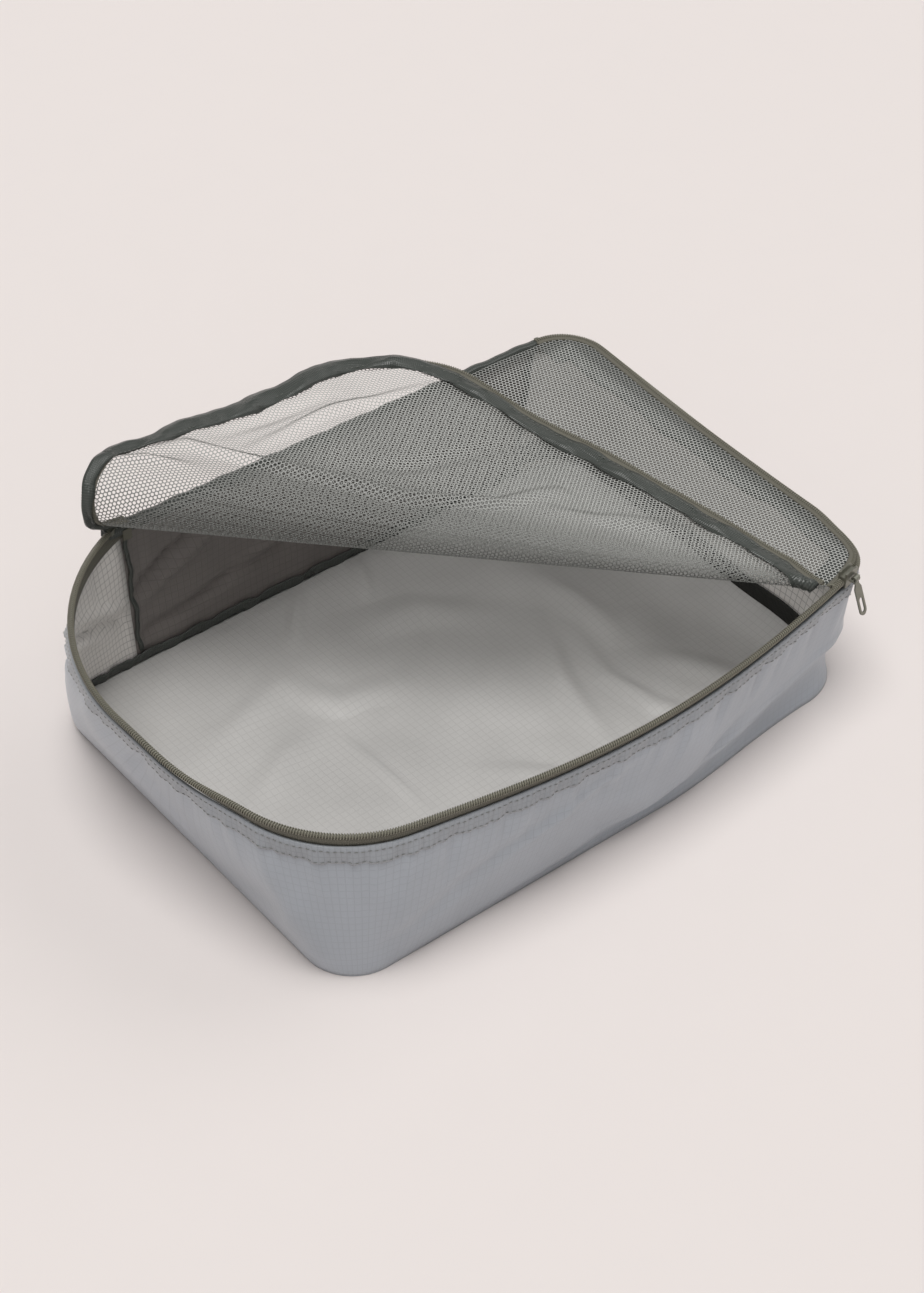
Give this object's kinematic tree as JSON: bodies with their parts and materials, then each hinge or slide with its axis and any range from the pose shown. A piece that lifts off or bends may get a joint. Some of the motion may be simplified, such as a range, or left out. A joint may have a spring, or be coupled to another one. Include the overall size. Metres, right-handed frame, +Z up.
{
  "type": "packing cube",
  "caption": "Soft rectangular fabric organiser with upright walls and a zipped see-through mesh lid, its free part folded back to show the open compartment.",
  "frame": {"origin": "on the floor, on the base panel's underside, below the middle of the rim", "axes": "+X along the long side, +Y towards the wall that the lid is sewn to, +Z up"},
  "size_m": [0.4265, 0.347, 0.1556],
  "materials": {
    "ripstop": "grey ripstop nylon, slight sheen",
    "base_ripstop": "coated ripstop nylon",
    "back_ripstop": "dark coated ripstop nylon",
    "binding": "woven satin binding tape",
    "zip_tape": "woven zip tape",
    "zip_coil": "nylon coil, satin",
    "mesh": "open polyester mesh",
    "slider_metal": "olive grey painted zinc"
  },
  "bodies": {
    "tray": {"base_panel": "base_ripstop", "gusset": "ripstop", "back_wall": "back_ripstop", "base_seam_binding": "binding", "left_seam_binding": "binding", "right_seam_binding": "binding", "rim_hem": "ripstop", "back_hinge_binding": "binding", "tray_zip_tape": "zip_tape", "tray_zip_coil": "zip_coil", "tray_top_stop": "slider_metal", "zip_bottom_stop": "slider_metal", "tape_end_tab": "zip_tape"},
    "lid": {"lid_mesh": "mesh", "lid_zip_tape": "zip_tape", "lid_binding": "binding", "lid_zip_coil": "zip_coil"},
    "fold_lower": {"fold_strip_lower": "mesh"},
    "fold_upper": {"fold_strip_upper": "mesh"},
    "flap": {"flap_mesh": "mesh", "flap_zip_tape": "zip_tape", "flap_binding": "binding", "flap_zip_coil": "zip_coil", "flap_top_stop": "slider_metal"},
    "slider": {"slider_body": "slider_metal", "slider_bail": "slider_metal"},
    "puller": {"pull_tab": "slider_metal"}
  },
  "joints": [
    {"name": "lid_hinge", "type": "hinge", "parent": "tray", "child": "lid", "pos_m": [0, 0.1385, 0.10619], "axis": [-0.9994, 0, 0.0345], "range_deg": [0, 95]},
    {"name": "fold_lower_bend", "type": "hinge", "parent": "lid", "child": "fold_lower", "pos_m": [0.173, -0.1615, 0.0962], "axis": [-0.7285, 0.6841, 0.0357], "range_deg": [-60, 0]},
    {"name": "fold_upper_bend", "type": "hinge", "parent": "fold_lower", "child": "fold_upper", "pos_m": [0.173, -0.1615, 0.0962], "axis": [-0.7442, 0.6626, 0.0847], "range_deg": [-60, 0]},
    {"name": "flap_fold", "type": "hinge", "parent": "fold_upper", "child": "flap", "pos_m": [0.173, -0.1615, 0.0962], "axis": [-0.7201, 0.6814, 0.1314], "range_deg": [-60, 0]},
    {"name": "slider_travel", "type": "hinge", "parent": "tray", "child": "slider", "pos_m": [-0.016, 0.6137, 0.11166], "axis": [-0.0345, 0.0154, -0.9993], "range_deg": [0, 23.3]},
    {"name": "pull_tab_swing", "type": "hinge", "parent": "slider", "child": "puller", "pos_m": [0.17231, -0.14327, 0.09531], "axis": [-0.97, -0.2412, 0.0298], "range_deg": [0, 150]}
  ],
  "couplings": [
    {"joint": "fold_lower_bend", "follows": "flap_fold", "ratio": 1},
    {"joint": "fold_upper_bend", "follows": "flap_fold", "ratio": 1}
  ]
}
